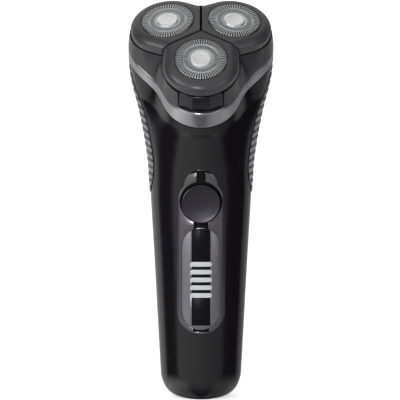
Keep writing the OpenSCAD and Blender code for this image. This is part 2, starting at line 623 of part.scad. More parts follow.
front_shell();
rear_shell();
base_cap();
accent_band();
grip(-1);  // left_grip
grip(1);  // right_grip
control_bezel();
display_lens();
light_bars();
chassis();
circuit_board();
push_switch();
battery_cell();
battery_contacts();
motor();
gear_plate();
gear_cover();
spindle_seals();
deck_screws();
shell_screws();
charging_socket();
socket_pin();
head_hinge_pin();
motor_shaft();
motor_pinion();
drive_gear(lobe_front_dir);  // drive_gear_front
drive_gear(lobe_right_dir);  // drive_gear_right
drive_gear(lobe_left_dir);  // drive_gear_left
drive_spindle(lobe_front_dir);  // drive_spindle_front
drive_spindle(lobe_right_dir);  // drive_spindle_right
drive_spindle(lobe_left_dir);  // drive_spindle_left
power_button();
button_spring();
head_shell();
blade_frame();
lobe_pins();
lock_knob();
release_button();
lobe(lobe_front_dir);  // lobe_front
lobe(lobe_right_dir);  // lobe_right
lobe(lobe_left_dir);  // lobe_left
foil(lobe_front_dir);  // foil_front
foil(lobe_right_dir);  // foil_right
foil(lobe_left_dir);  // foil_left
foil_cap(lobe_front_dir);  // foil_cap_front
foil_cap(lobe_right_dir);  // foil_cap_right
foil_cap(lobe_left_dir);  // foil_cap_left
foil_ring(lobe_front_dir);  // foil_ring_front
foil_ring(lobe_right_dir);  // foil_ring_right
foil_ring(lobe_left_dir);  // foil_ring_left
cutter(lobe_front_dir);  // cutter_front
cutter(lobe_right_dir);  // cutter_right
cutter(lobe_left_dir);  // cutter_left
trimmer_well();
trimmer_arm();
trimmer_comb();
trimmer_blade();
trimmer_pin();
trimmer_slide();
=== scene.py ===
"""Looks of the rotary shaver: its visible pieces, finishes, floor, light and camera.

Lengths in the shape functions are millimetres, as on a drawing. MM turns them to metres.
Handle sections run up the body, angle 0 at the front, 90 at the right and 180 at the back.
"""

import json
import math

import bpy
from mathutils import Matrix, Vector

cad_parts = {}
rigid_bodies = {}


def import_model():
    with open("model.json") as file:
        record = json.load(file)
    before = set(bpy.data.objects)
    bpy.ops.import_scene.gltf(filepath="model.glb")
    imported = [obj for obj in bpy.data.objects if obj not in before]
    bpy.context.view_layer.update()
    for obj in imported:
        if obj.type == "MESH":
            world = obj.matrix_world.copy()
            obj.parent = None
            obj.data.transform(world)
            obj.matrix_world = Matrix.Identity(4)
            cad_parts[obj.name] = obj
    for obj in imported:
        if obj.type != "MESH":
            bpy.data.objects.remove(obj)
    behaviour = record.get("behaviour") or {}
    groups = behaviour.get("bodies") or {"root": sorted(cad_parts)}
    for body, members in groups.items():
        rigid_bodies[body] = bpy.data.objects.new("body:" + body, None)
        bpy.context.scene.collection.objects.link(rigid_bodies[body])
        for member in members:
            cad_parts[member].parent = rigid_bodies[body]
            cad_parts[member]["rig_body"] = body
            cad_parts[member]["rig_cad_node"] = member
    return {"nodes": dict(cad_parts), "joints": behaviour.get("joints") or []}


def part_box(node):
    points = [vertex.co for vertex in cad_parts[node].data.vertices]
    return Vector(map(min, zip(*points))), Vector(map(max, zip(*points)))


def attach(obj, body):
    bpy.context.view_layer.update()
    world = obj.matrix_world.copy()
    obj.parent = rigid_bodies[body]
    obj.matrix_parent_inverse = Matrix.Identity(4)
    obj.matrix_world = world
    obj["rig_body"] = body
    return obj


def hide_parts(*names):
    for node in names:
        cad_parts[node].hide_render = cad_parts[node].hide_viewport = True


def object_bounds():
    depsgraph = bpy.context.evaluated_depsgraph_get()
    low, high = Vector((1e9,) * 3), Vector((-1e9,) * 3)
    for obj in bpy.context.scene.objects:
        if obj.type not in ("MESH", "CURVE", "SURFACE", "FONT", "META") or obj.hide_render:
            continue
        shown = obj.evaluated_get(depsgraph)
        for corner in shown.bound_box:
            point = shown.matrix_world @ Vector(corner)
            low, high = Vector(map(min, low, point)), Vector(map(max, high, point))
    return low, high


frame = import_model()
cad_low, cad_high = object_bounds()
nodes = frame["nodes"]
joints = {joint["name"]: joint for joint in frame["joints"]}
MM = 0.001


# ---------------------------------------------------------------- frames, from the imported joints
def standing(origin, up, right):
    """A frame in metres with its Z along up and its X as near right as it can be."""
    up = Vector(up).normalized()
    right = (Vector(right) - up * Vector(right).dot(up)).normalized()
    turned = Matrix((right, up.cross(right), up)).transposed().to_4x4()
    return Matrix.Translation(origin) @ turned


KNOB_DEPTH = 12
up_out = Vector(joints["knob_turn"]["axis"])
HEAD = standing(Vector(joints["knob_turn"]["pos_m"]) + up_out * KNOB_DEPTH * MM, up_out,
                (1, 0, 0))
CUTTER_DEPTH = 3
LOBES = {}
for side in ("front", "right", "left"):
    spin, tilt = joints["cutter_spin_" + side], joints["lobe_tilt_" + side]
    out = Vector(spin["axis"])
    LOBES[side] = standing(Vector(spin["pos_m"]) + out * CUTTER_DEPTH * MM, out,
                           Vector(tilt["axis"]).cross(out))
HINGE = HEAD.inverted() @ Vector(joints["head_opening"]["pos_m"]) / MM


def in_head(x, y, z):
    return (HEAD @ (Vector((x, y, z)) * MM)) / MM


# ---------------------------------------------------------------- the handle's form
FRONT_SLOPE = 0.05


def front_y(z):
    return -(16.4 + FRONT_SLOPE * (z - 12))


# Each section: front y and z, back y and z, half width, and how far the oval is three-lobed.
SECTIONS = [(front_y(12), 12, 16.0, 12, 17.1, 0), (front_y(34), 34, 17.6, 34, 18.3, 0),
            (front_y(60), 60, 19.2, 60, 19.7, 0), (front_y(84), 84, 20.6, 84, 21.1, 0),
            (front_y(97), 97, 21.9, 102, 21.9, 0.08), (-21.8, 108, 22.6, 124, 25.3, 0.4),
            (-22.7, 112, 21.6, 139.4, 28.6, 0.8)]
LAST = len(SECTIONS) - 1
FLAT_HALF_WIDTH, FLAT_HALF_DEPTH, BASE_ROUND = 6.2, 11, 12
HEAD_RING_R, HEAD_WAVE, HEAD_WIDEN, HEAD_HALF_W = 26.6, 5.3, 1.044, 30.6
WALL = 1.8


def off_lobe(turn):
    """Degrees from the middle of the nearest lobe, for a turn round the head's axis."""
    across = (turn - 30) % 120
    return min(across, 120 - across)


def head_ring(turn, inset=0):
    reach = HEAD_RING_R + HEAD_WAVE * math.cos(math.radians(3 * off_lobe(turn))) - inset
    return HEAD_WIDEN * reach * math.cos(math.radians(turn)), reach * math.sin(math.radians(turn))


def section_at(index):
    return SECTIONS[max(0, min(LAST, index))]


def between(index, t):
    """A section on the smooth curve through the neighbouring sections."""
    a, b, c, d = (section_at(index + k) for k in (-1, 0, 1, 2))
    return [0.5 * (2 * q + (r - p) * t + (2 * p - 5 * q + 4 * r - s) * t * t
                   + (3 * q - p - 3 * r + s) * t ** 3) for p, q, r, s in zip(a, b, c, d)]


def base_section(t):
    """A section of the rounded foot: t is 0 at the flat face and 1 at the first section."""
    grow, first = math.sin(math.radians(90 * t)) ** 0.8, SECTIONS[0]
    z = BASE_ROUND * (1 - math.cos(math.radians(90 * t)))
    return [-FLAT_HALF_DEPTH + (first[0] + FLAT_HALF_DEPTH) * grow, z,
            FLAT_HALF_DEPTH + (first[2] - FLAT_HALF_DEPTH) * grow, z,
            FLAT_HALF_WIDTH + (first[4] - FLAT_HALF_WIDTH) * grow, 0]


def on_section(row, angle, inset=0.0):
    front, front_z, back, back_z, half_width, lobed = row
    mid_y, mid_z = (front + back) / 2, (front_z + back_z) / 2
    dy, dz = (back - front) / 2, (back_z - front_z) / 2
    depth = math.hypot(dy, dz)
    a = math.radians(angle)
    x, y = head_ring(angle - 90)
    u = math.sin(a) * (1 - lobed) + x / HEAD_HALF_W * lobed
    v = -math.cos(a) * (1 - lobed) + (y + HEAD_WAVE) / HEAD_RING_R * lobed
    shrink = (depth - inset) / depth
    return Vector(((half_width - inset) * u, mid_y + dy * shrink * v, mid_z + dz * shrink * v))


def dip(angle):
    return max(0.0, math.cos(math.radians(angle))) ** 1.4


def side_rise(angle):
    """How far the band has climbed towards its peak at each side of the head."""
    off_front = min(angle % 360, 360 - angle % 360)
    return max(0.0, math.sin(math.radians(off_front - 12))) ** 8


def band_low(angle, inset=0.0):
    x, y = head_ring(angle - 90, inset)
    return in_head(x, y - 1.2, -22.3 - 1.6 * dip(angle) + 1.6 * side_rise(angle))


def band_high(angle, inset=0.0):
    x, y = head_ring(angle - 90, inset)
    return in_head(x, y, -19.2 + 2.4 * dip(angle) + 3.6 * side_rise(angle))


def on_handle(s, angle, inset=0.0):
    """A point of the handle's outside at step s, in sections. The last step ends at the band."""
    if s < LAST:
        return on_section(between(int(s), s - int(s)), angle, inset)
    t = s - LAST
    return on_section(SECTIONS[LAST], angle, inset) * (1 - t) + band_low(angle, inset) * t


# ---------------------------------------------------------------- making pieces
def only(obj):
    bpy.ops.object.select_all(action="DESELECT")
    obj.select_set(True)
    bpy.context.view_layer.objects.active = obj


def fresh(name):
    obj = bpy.context.object
    obj.name = obj.data.name = name
    return obj


def modify(obj, kind, **settings):
    only(obj)
    modifier = obj.modifiers.new(kind.title(), kind)
    for key, value in settings.items():
        setattr(modifier, key, value)
    bpy.ops.object.modifier_apply(modifier=modifier.name)


def edit(obj, *steps):
    """Runs edit-mode steps on the whole of a piece, with everything selected first."""
    only(obj)
    bpy.ops.object.mode_set(mode="EDIT")
    bpy.ops.mesh.select_all(action="SELECT")
    for step in steps:
        step()
    bpy.ops.object.mode_set(mode="OBJECT")


def merge():
    bpy.ops.mesh.remove_doubles(threshold=1e-6)


def outward():
    bpy.ops.mesh.normals_make_consistent(inside=False)


def face_out(obj, centre):
    """Turns an open sheet's faces away from a point."""
    inward = sum((face.center - centre).dot(face.normal) * face.area for face in obj.data.polygons)
    if inward < 0:
        edit(obj, bpy.ops.mesh.flip_normals)


def bent_grid(name, columns, rows, place):
    """A grid whose vertices are moved to place(across, along), each from 0 to 1, in millimetres."""
    bpy.ops.object.select_all(action="DESELECT")
    bpy.ops.mesh.primitive_grid_add(x_subdivisions=columns, y_subdivisions=rows, size=2)
    obj = fresh(name)
    for vertex in obj.data.vertices:
        x, y, _ = vertex.co
        vertex.co = Vector(place((x + 1) / 2, (y + 1) / 2)) * MM
    edit(obj, merge)
    return obj


def spun(name, profile, steps, place, closed=False):
    """A profile of (radius, height) spun round place's Z axis. The radius stays as an attribute."""
    bpy.ops.object.select_all(action="DESELECT")
    bpy.ops.mesh.primitive_circle_add(vertices=len(profile), fill_type="NOTHING")
    obj = fresh(name)
    for vertex, (r, h) in zip(obj.data.vertices, profile):
        vertex.co = (r * MM, 0, h * MM)
    if not closed:
        for edge in obj.data.edges:
            edge.select = set(edge.vertices) == {0, len(profile) - 1}
        for vertex in obj.data.vertices:
            vertex.select = vertex.index in (0, len(profile) - 1)
        only(obj)
        bpy.ops.object.mode_set(mode="EDIT")
        bpy.ops.mesh.select_mode(type="EDGE")
        bpy.ops.mesh.delete(type="EDGE")
        bpy.ops.mesh.select_mode(type="VERT")
        bpy.ops.object.mode_set(mode="OBJECT")
    edit(obj,
         lambda: bpy.ops.mesh.spin(steps=steps, angle=math.tau, center=(0, 0, 0), axis=(0, 0, 1)),
         lambda: bpy.ops.mesh.select_all(action="SELECT"), merge, outward)
    radius = obj.data.attributes.new("turned_radius", "FLOAT", "POINT")
    for vertex in obj.data.vertices:
        radius.data[vertex.index].value = math.hypot(vertex.co.x, vertex.co.y)
    obj.data.transform(place)
    return obj


def plate(name, outline, low, high, place):
    """A filled outline pulled up from low to high along place's Z axis."""
    bpy.ops.object.select_all(action="DESELECT")
    bpy.ops.mesh.primitive_circle_add(vertices=len(outline), fill_type="NGON")
    obj = fresh(name)
    for vertex, (x, y) in zip(obj.data.vertices, outline):
        vertex.co = (x * MM, y * MM, low * MM)
    edit(obj, lambda: bpy.ops.mesh.extrude_region_move(
        TRANSFORM_OT_translate={"value": (0, 0, (high - low) * MM)}),
        lambda: bpy.ops.mesh.select_all(action="SELECT"), outward)
    obj.data.transform(place)
    return obj


def block(name, low, high, place):
    (x0, y0, z0), (x1, y1, z1) = low, high
    return plate(name, [(x0, y0), (x1, y0), (x1, y1), (x0, y1)], z0, z1, place)


def arc(cx, cy, r, start, end, steps):
    turns = [math.radians(start + (end - start) * k / steps) for k in range(steps + 1)]
    return [(cx + r * math.cos(turn), cy + r * math.sin(turn)) for turn in turns]


def carve(obj, *cutters, keep="DIFFERENCE"):
    for cutter in cutters:
        modify(obj, "BOOLEAN", operation=keep, object=cutter, solver="EXACT")
        bpy.data.objects.remove(cutter)


def joined(obj, *others):
    only(obj)
    for other in others:
        other.select_set(True)
    bpy.ops.object.join()
    return obj


SHARP = 35  # degrees: an edge turning more than this is rounded


def rounded(obj, width, segments=2):
    modify(obj, "BEVEL", width=width * MM, segments=segments, limit_method="ANGLE",
           angle_limit=math.radians(SHARP), use_clamp_overlap=True)


def done(obj, body, slot, finish, *stands_for, smooth=35):
    only(obj)
    bpy.ops.object.shade_smooth_by_angle(angle=math.radians(smooth))
    obj.data.materials.clear()
    obj.data.materials.append(finish)
    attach(obj, body)
    if stands_for:
        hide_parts(*stands_for)
    return obj


FLAT = 0.6  # degrees: triangles closer than this are one flat face


def softened(node, edge, body, slot, finish):
    """A copy of a CAD piece: its triangles merged, its flat faces whole and its edges rounded."""
    obj = nodes[node].copy()
    obj.data = obj.data.copy()
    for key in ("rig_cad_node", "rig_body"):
        del obj[key]
    obj.parent = None
    bpy.context.scene.collection.objects.link(obj)
    obj.name = obj.data.name = node + "_finished"
    only(obj)
    bpy.ops.mesh.customdata_custom_splitnormals_clear()
    edit(obj, merge, lambda: bpy.ops.mesh.dissolve_limited(angle_limit=math.radians(FLAT)))
    rounded(obj, edge)
    return done(obj, body, slot, finish, node)


# ---------------------------------------------------------------- materials
def linear(colour):
    """An sRGB hex colour as linear RGBA."""
    parts = [int(colour[k:k + 2], 16) / 255 for k in (1, 3, 5)]
    return [p / 12.92 if p <= 0.04045 else ((p + 0.055) / 1.055) ** 2.4 for p in parts] + [1.0]


def add(tree, kind, settings, links):
    """Adds a node. Links are socket values, or outputs to join to those sockets."""
    made = tree.nodes.new(kind)
    for key, value in settings.items():
        setattr(made, key, value)
    for key, value in links.items():
        if isinstance(value, bpy.types.NodeSocket):
            tree.links.new(value, made.inputs[key])
        else:
            made.inputs[key].default_value = value
    return made


def material(name):
    made = bpy.data.materials.new(name)
    made.use_nodes = True
    made.node_tree.nodes.clear()
    return made, made.node_tree


def shade(tree, base, roughness, normal=None, **plain):
    """The Principled shader and output. Plain values are set straight on its sockets."""
    links = {"Base Color": base, "Roughness": roughness}
    if normal:
        links["Normal"] = normal
    for key, value in plain.items():
        links[key.replace("_", " ").replace("Ior", "IOR")] = value
    shader = add(tree, "ShaderNodeBsdfPrincipled", {}, links)
    add(tree, "ShaderNodeOutputMaterial", {}, {"Surface": shader.outputs[0]})


def grained(name, dark, light, grain, roughness, spread, relief, stretch=(1, 1, 1), **plain):
    """A finish whose colour, roughness and relief vary together with one grain, its size in mm."""
    made, tree = material(name)
    place = add(tree, "ShaderNodeTexCoord", {}, {}).outputs["Object"]
    turned = add(tree, "ShaderNodeMapping", {}, {"Vector": place, "Scale": stretch}).outputs[0]
    noise = add(tree, "ShaderNodeTexNoise", {}, {"Vector": turned, "Scale": 1 / (grain * MM),
                                                 "Detail": 3.0}).outputs["Fac"]
    colour = add(tree, "ShaderNodeMix", {"data_type": "RGBA"},
                 {0: noise, 6: linear(dark), 7: linear(light)}).outputs[2]
    rough = add(tree, "ShaderNodeMapRange", {}, {0: noise, 1: 0.3, 2: 0.7, 3: roughness - spread,
                                                 4: roughness + spread}).outputs[0]
    bump = add(tree, "ShaderNodeBump", {}, {"Height": noise, "Strength": 1.0,
                                            "Distance": relief * MM}).outputs[0]
    shade(tree, colour, rough, bump, **plain)
    return made


# Polished moulded ABS: a deep black that mirrors the room, with the faint ripple of the mould.
piano_black = grained("piano_black_abs", "#0c0a0d", "#121013", 5.0, 0.12, 0.03, 0.0012, Ior=1.53)
# Semi-gloss moulded ABS: a dark grey whose fine texture spreads the lights softly.
head_grey = grained("semi_gloss_grey_abs", "#313032", "#39383a", 0.5, 0.3, 0.04, 0.0025, Ior=1.53)
# Metallic lacquer on plastic: fine flake gives a silky grey that brightens at the edges.
satin_lacquer = grained("satin_metallic_lacquer", "#979699", "#a5a4a8", 0.25, 0.24, 0.05, 0.002,
                        Metallic=0.85)
# Vacuum-metallised smoked trim under clear lacquer: darker and glossier than the band.
smoked_trim = grained("smoked_metallised_trim", "#5c5a60", "#68666c", 0.4, 0.24, 0.04, 0.001,
                      Metallic=0.85, Coat_Weight=0.5, Coat_Roughness=0.05)
# Black plastic at the bottom of a recess, dull and darker than the shell: painted shade.
painted_shade_black = grained("dull_black_recess", "#040305", "#070608", 0.5, 0.5, 0.05, 0.003,
                       Specular_IOR_Level=0.1, Ior=1.53)
# Polished dark grey ABS of the hair chamber: glossier than the lobes, with the mould's soft ripple.
chamber_grey = grained("polished_grey_abs", "#19181b", "#1e1d20", 4.0, 0.2, 0.03, 0.0015,
                       Specular_IOR_Level=0.32, Ior=1.53)
# Spark-eroded black plastic of the trimmer: matt with a fine even grain.
trimmer_black = grained("spark_eroded_black_plastic", "#141316", "#1e1d20", 0.35, 0.42, 0.06, 0.006,
                        Ior=1.53)
# Glass-filled nylon of the inner parts: dull, slightly cloudy dark grey.
inner_nylon = grained("glass_filled_nylon", "#37373c", "#45454b", 0.9, 0.55, 0.08, 0.008, Ior=1.53)
# Solder-masked glass epoxy: a green board with a woven shimmer.
board_epoxy = grained("solder_masked_epoxy", "#1c4a2c", "#2c6a40", 0.8, 0.35, 0.08, 0.004, Ior=1.55)
# Moulded nitrile: soft black seals.
nitrile = grained("moulded_nitrile", "#161616", "#222222", 0.5, 0.7, 0.06, 0.01, Ior=1.52)
# Shrink-wrapped cell: a thin satin film with slack wrinkles.
shrink_film = grained("shrink_wrapped_film", "#2c6f4c", "#3a845c", 4.0, 0.3, 0.06, 0.02, Ior=1.57)
# Ground stainless blades: fine straight scratches across the edges.
ground_steel = grained("ground_stainless", "#a9abad", "#c4c6c8", 0.3, 0.28, 0.08, 0.003,
                       stretch=(0.08, 1, 1), Metallic=1.0)
# Rolled and plated steel of pins, screws and cans.
plated_steel = grained("zinc_plated_steel", "#a4a6aa", "#bcbec2", 1.2, 0.32, 0.07, 0.004,
                       Metallic=1.0)
# Turned brass: warm yellow with slight tarnish.
turned_brass = grained("turned_brass", "#b08a45", "#c9a45c", 1.0, 0.3, 0.07, 0.004, Metallic=1.0)
# Moulded acetal gears: waxy off-white.
acetal = grained("moulded_acetal", "#d3cfc2", "#e2dfd4", 1.5, 0.42, 0.05, 0.004, Ior=1.48,
                 Subsurface_Weight=0.1, Subsurface_Scale=0.001)


def turned_metal(name, dark, light, line, roughness, relief, anisotropic):
    """Lathe-turned or spun metal: fine rings about the piece's own axis, spaced line mm apart."""
    made, tree = material(name)
    radius = add(tree, "ShaderNodeAttribute", {"attribute_name": "turned_radius"},
                 {}).outputs["Fac"]
    rings = add(tree, "ShaderNodeTexNoise", {"noise_dimensions": "1D"},
                {"W": radius, "Scale": 1 / (line * MM), "Detail": 2.0}).outputs["Fac"]
    colour = add(tree, "ShaderNodeMix", {"data_type": "RGBA"},
                 {0: rings, 6: linear(dark), 7: linear(light)}).outputs[2]
    rough = add(tree, "ShaderNodeMapRange", {}, {0: rings, 1: 0.3, 2: 0.7, 3: roughness - 0.05,
                                                 4: roughness + 0.05}).outputs[0]
    bump = add(tree, "ShaderNodeBump", {}, {"Height": rings, "Strength": 1.0,
                                            "Distance": relief * MM}).outputs[0]
    shade(tree, colour, rough, bump, Metallic=1.0, Anisotropic=anisotropic)
    return made


# Spun stainless foil: a light grey metal with ground rings, drawn coarser than real so they show.
foil_steel = turned_metal("spun_stainless_foil", "#a2a3a4", "#d6d7d8", 0.3, 0.3, 0.006, 0.2)
# Bright stamped cap: nearly white, brushed in rings.
cap_steel = turned_metal("bright_stamped_cap", "#f2f2f3", "#fbfbfb", 0.3, 0.45, 0.003, 0.1)
# Lathe-turned button top: rings stretch the lights into a cone from its middle.
button_metal = turned_metal("lathe_turned_button", "#38363d", "#4c4a51", 0.5, 0.3, 0.02, 0.5)

# Moulded thermoplastic rubber: dusty grey on the ribs; the near black in the grooves between them
# and along the pad's edges is painted shade.
grip_rubber, tree = material("moulded_grip_rubber")
place = add(tree, "ShaderNodeTexCoord", {}, {}).outputs["Object"]
grain = add(tree, "ShaderNodeTexNoise", {},
            {"Vector": place, "Scale": 1 / (0.35 * MM)}).outputs["Fac"]
rib = add(tree, "ShaderNodeAttribute", {"attribute_name": "rib"}, {}).outputs["Fac"]
worn = add(tree, "ShaderNodeMix", {"data_type": "RGBA"}, {0: grain, 6: linear("#77757a"),
                                                          7: linear("#8d8b8f")}).outputs[2]
groove_shaded_tone = add(tree, "ShaderNodeMix", {"data_type": "RGBA"},
           {0: rib, 6: linear("#121113"), 7: worn}).outputs[2]
bump = add(tree, "ShaderNodeBump", {},
           {"Height": grain, "Strength": 1.0, "Distance": 0.01 * MM}).outputs[0]
shade(tree, groove_shaded_tone, 0.55, bump, Ior=1.52, Sheen_Weight=0.1)

# Moulded acrylic lens, clear over a printed film: silver at the sides, black in the middle.
lens_acrylic, tree = material("printed_acrylic_lens")
BLACK_HALF_WIDTH, BLACK_LOW, BLACK_HIGH = 3.95, 31.8, 72.7
place = add(tree, "ShaderNodeTexCoord", {}, {}).outputs["Object"]
part = add(tree, "ShaderNodeSeparateXYZ", {}, {0: place})
across = add(tree, "ShaderNodeMath", {"operation": "ABSOLUTE"}, {0: part.outputs[0]}).outputs[0]
inside = add(tree, "ShaderNodeMath", {"operation": "LESS_THAN"},
             {0: across, 1: BLACK_HALF_WIDTH * MM}).outputs[0]
above = add(tree, "ShaderNodeMath", {"operation": "GREATER_THAN"},
            {0: part.outputs[2], 1: BLACK_LOW * MM}).outputs[0]
below = add(tree, "ShaderNodeMath", {"operation": "LESS_THAN"},
            {0: part.outputs[2], 1: BLACK_HIGH * MM}).outputs[0]
window = add(tree, "ShaderNodeMath", {"operation": "MULTIPLY"}, {0: inside, 1: above}).outputs[0]
window = add(tree, "ShaderNodeMath", {"operation": "MULTIPLY"}, {0: window, 1: below}).outputs[0]
dots = add(tree, "ShaderNodeTexNoise", {},
           {"Vector": place, "Scale": 1 / (0.3 * MM)}).outputs["Fac"]
silver = add(tree, "ShaderNodeMix", {"data_type": "RGBA"}, {0: dots, 6: linear("#7c7a82"),
                                                            7: linear("#8b8990")}).outputs[2]
print_colour = add(tree, "ShaderNodeMix", {"data_type": "RGBA"},
                   {0: window, 6: silver, 7: linear("#0b0a0d")}).outputs[2]
printed_metal = add(tree, "ShaderNodeMapRange", {},
                    {0: window, 1: 0.0, 2: 1.0, 3: 0.85, 4: 0.0}).outputs[0]
print_rough = add(tree, "ShaderNodeMapRange", {},
                  {0: dots, 1: 0.3, 2: 0.7, 3: 0.26, 4: 0.34}).outputs[0]
shade(tree, print_colour, print_rough, Metallic=printed_metal, Specular_IOR_Level=0.1, Ior=1.49)

# Opal acrylic light guides, lit from behind: even white, a little dimmer towards the ends.
opal_acrylic, tree = material("lit_opal_acrylic")
place = add(tree, "ShaderNodeTexCoord", {}, {}).outputs["Object"]
part = add(tree, "ShaderNodeSeparateXYZ", {}, {0: place})
across = add(tree, "ShaderNodeMath", {"operation": "ABSOLUTE"}, {0: part.outputs[0]}).outputs[0]
glow = add(tree, "ShaderNodeMapRange", {},
           {0: across, 1: 3.0 * MM, 2: 4.6 * MM, 3: 1.0, 4: 0.8}).outputs[0]
shine = add(tree, "ShaderNodeMix", {"data_type": "RGBA"}, {0: glow, 6: linear("#c9cbd0"),
                                                           7: linear("#ffffff")}).outputs[2]
shade(tree, linear("#9a9b9d"), 0.35, Emission_Color=shine, Emission_Strength=0.16, Ior=1.49)

# Cutter steel darkened to a dull dark grey: painted shade, so the slots of the foils read as dark
# lines.
painted_shade_cutter_steel = grained("sintered_cutter_steel", "#38393b", "#4a4b4e", 0.6, 0.5, 0.06, 0.004,
                         Metallic=0.8)

INNER_FINISH = {
    "inner_plastic": inner_nylon, "board_green": board_epoxy, "seal_rubber": nitrile,
    "cell_wrap": shrink_film, "blade_steel": painted_shade_cutter_steel, "plain_steel": plated_steel,
    "brass_parts": turned_brass, "gear_nylon": acetal, "gloss_black_shell": piano_black,
    "trimmer_plastic": trimmer_black, "head_grey_plastic": head_grey}
for node in nodes.values():
    slots = [held.name.split(".")[0] for held in node.data.materials]
    for k, slot_name in enumerate(slots):
        node.data.materials[k] = INNER_FINISH.get(slot_name, plated_steel)

# ---------------------------------------------------------------- handle shells
SEAM = 0.15
FOOT_ROWS, SHELL_ROWS, SHELL_COLUMNS = 14, 84, 72


def shell(name, start):
    """Half of the handle: the flat rim of the foot, its round, then the sections up to the band."""
    rows = FOOT_ROWS + SHELL_ROWS

    def place(across, along):
        angle = start + SEAM + across * (180 - 2 * SEAM)
        row = round(along * rows)
        if row == 0:
            return on_section(base_section(0), angle, WALL)
        if row < FOOT_ROWS:
            return on_section(base_section((row - 1) / (FOOT_ROWS - 1)), angle)
        return on_handle((row - FOOT_ROWS) / SHELL_ROWS * (LAST + 1), angle)

    obj = bent_grid(name, SHELL_COLUMNS, rows, place)
    face_out(obj, Vector((0, 0, 0.08)))
    modify(obj, "SOLIDIFY", thickness=WALL * MM, offset=-1)
    return obj


PANEL_Z = 60
LEAN = math.atan(FRONT_SLOPE)
PANEL = (Matrix.Translation(Vector((0, front_y(PANEL_Z), PANEL_Z)) * MM)
         @ Matrix.Rotation(math.pi / 2 + LEAN, 4, "X"))
CUT_LOW, CUT_HIGH = -9, 5  # how far a cutter reaches behind and before the panel's face


def up_panel(z):
    return (z - PANEL_Z) / math.cos(LEAN)


BUTTON_Z, BUTTON_R = 83, 8.05
BEZEL_R, BEZEL_LOW, TONGUE_R, TONGUE_TOP = 10.15, 28.3, 7, 97.3
LENS_R, LENS_LOW, LENS_HIGH = 8.3, 30, 73


def bezel_outline(grow):
    """The long oval round lens and button, with the smaller tongue on top of it."""
    low, mid, top = (up_panel(z) for z in (BEZEL_LOW + BEZEL_R, BUTTON_Z, TONGUE_TOP - TONGUE_R))
    corner = 46.4  # degrees round the button, where the tongue's side meets the oval
    wide = BEZEL_R + grow
    return (arc(0, low, wide, 180, 360, 48) + arc(0, mid, wide, 0, corner, 16)
            + arc(0, top, TONGUE_R + grow, 1, 179, 32) + arc(0, mid, wide, 180 - corner, 180, 16))


def punch(outline):
    """A cutter through the panel, of any outline."""
    return plate("cut", outline, CUT_LOW, CUT_HIGH, PANEL)


def slit(half_width, low, high):
    """A straight cutter through the panel's middle, between two heights."""
    return block("cut", (-half_width, low, CUT_LOW), (half_width, high, CUT_HIGH), PANEL)


def long_oval(r, low, high):
    return arc(0, up_panel(low + r), r, 180, 360, 48) + arc(0, up_panel(high - r), r, 0, 180, 48)


front = shell("front_shell_body", -90)
carve(front, plate("cut", bezel_outline(0.05), -8, 8, PANEL))
done(front, "handle", "gloss_black_shell", piano_black, "front_shell", smooth=30)

well_low, well_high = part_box("trimmer_well")
rear = shell("rear_shell_body", 90)
GAP, PAST_BACK, SCREW_HEIGHTS = 0.00005, 0.03, (22, 74)
carve(rear, block("cut", [c / MM for c in (well_low.x - GAP, well_low.y, well_low.z - GAP)],
                  [c / MM for c in (well_high.x + GAP, PAST_BACK, well_high.z + GAP)], Matrix()))
for z in SCREW_HEIGHTS:
    carve(rear, spun("cut", [(0, 8), (2.1, 8), (2.1, 24), (0, 24)], 48,
                     Matrix.Translation((0, 0, z * MM)) @ Matrix.Rotation(-math.pi / 2, 4, "X")))
done(rear, "handle", "gloss_black_shell", piano_black, "rear_shell", smooth=30)

# ---------------------------------------------------------------- accent band and head hinge
BAND_WALL, BAND_ROUND = 2.2, 0.35
# Each row: its share of the way up the band, and how much of the rounding it takes.
BAND_ROWS = [(0.0, 1.0), (0.03, 0.45), (0.08, 0.12), (0.16, 0.0), (0.5, 0.0), (0.84, 0.0),
             (0.92, 0.12), (0.97, 0.45), (1.0, 1.0)]


def on_band(across, along):
    angle = across * 360
    share, drop = BAND_ROWS[round(along * (len(BAND_ROWS) - 1))]
    inset = BAND_ROUND * drop
    return band_low(angle, inset) * (1 - share) + band_high(angle, inset) * share


BARREL_R, BORE_R, CHAMFER, WEB_FROM = 1.88, 0.85, 0.25, 19.2


def barrel(x, length):
    """A hinge barrel along X with a bored, chamfered end."""
    half, in_from_edge = length / 2, BARREL_R - CHAMFER
    place = (HEAD @ Matrix.Translation((x * MM, HINGE.y * MM, HINGE.z * MM))
             @ Matrix.Rotation(math.pi / 2, 4, "Y"))
    return spun("barrel", [(BORE_R, -half), (in_from_edge, -half), (BARREL_R, -half + CHAMFER),
                           (BARREL_R, half - CHAMFER), (in_from_edge, half), (BORE_R, half)],
                40, place, closed=True)


band = bent_grid("accent_band_ring", 180, len(BAND_ROWS) - 1, on_band)
face_out(band, HEAD @ (Vector((0, 0, -20)) * MM))
modify(band, "SOLIDIFY", thickness=BAND_WALL * MM, offset=-1)
parts = []
for x in (-4.8, 4.8):
    parts += [barrel(x, 3),
              block("web", (x - 1.5, WEB_FROM, -21.1), (x + 1.5, HINGE.y, -19.6), HEAD)]
done(joined(band, *parts), "handle", "satin_grey_band", satin_lacquer, "accent_band", smooth=50)

# ---------------------------------------------------------------- grips
GRIP_FIRST, GRIP_LAST, GRIP_SEAT, GRIP_PAD, RIB_PITCH = 3.15, 6.75, 0.22, 0.8, 3.0
# Degrees round the handle: the pad's two edges at its foot, its turn to the top, and their bows.
GRIP_FRONT, GRIP_BACK, GRIP_TURN, FRONT_BOW, BACK_BOW = 88, 92, 18, 26, 28


def swell(t):
    return max(0.0, math.sin(math.pi * t)) ** 0.8


